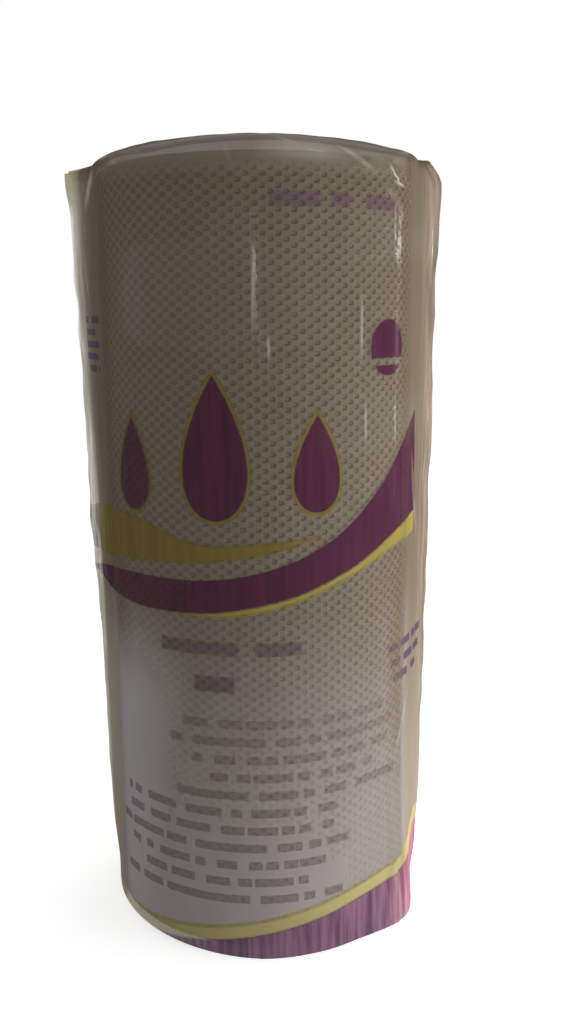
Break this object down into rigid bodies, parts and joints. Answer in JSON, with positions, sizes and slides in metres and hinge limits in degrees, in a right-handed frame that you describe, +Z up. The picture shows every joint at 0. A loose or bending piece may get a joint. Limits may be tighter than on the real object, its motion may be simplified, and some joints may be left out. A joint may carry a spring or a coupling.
{
  "type": "kitchen paper towel roll",
  "caption": "Kitchen paper towel roll on a cardboard core, wrapped in a clear printed film bag with welded ends and standing on one end.",
  "frame": {"origin": "middle of the base that the pack stands on", "axes": "+Z up along the roll's axis; the printed front faces -Y; +X is to the right as seen from the front"},
  "size_m": [0.113, 0.0974, 0.241],
  "materials": {
    "core_board": "matt spiral-wound board",
    "towel_paper": "matt embossed tissue",
    "bag_film": "clear gloss film with printed bands"
  },
  "bodies": {
    "root": {"core_tube": "core_board", "towel_roll": "towel_paper", "film_bag": "bag_film"}
  },
  "joints": []
}
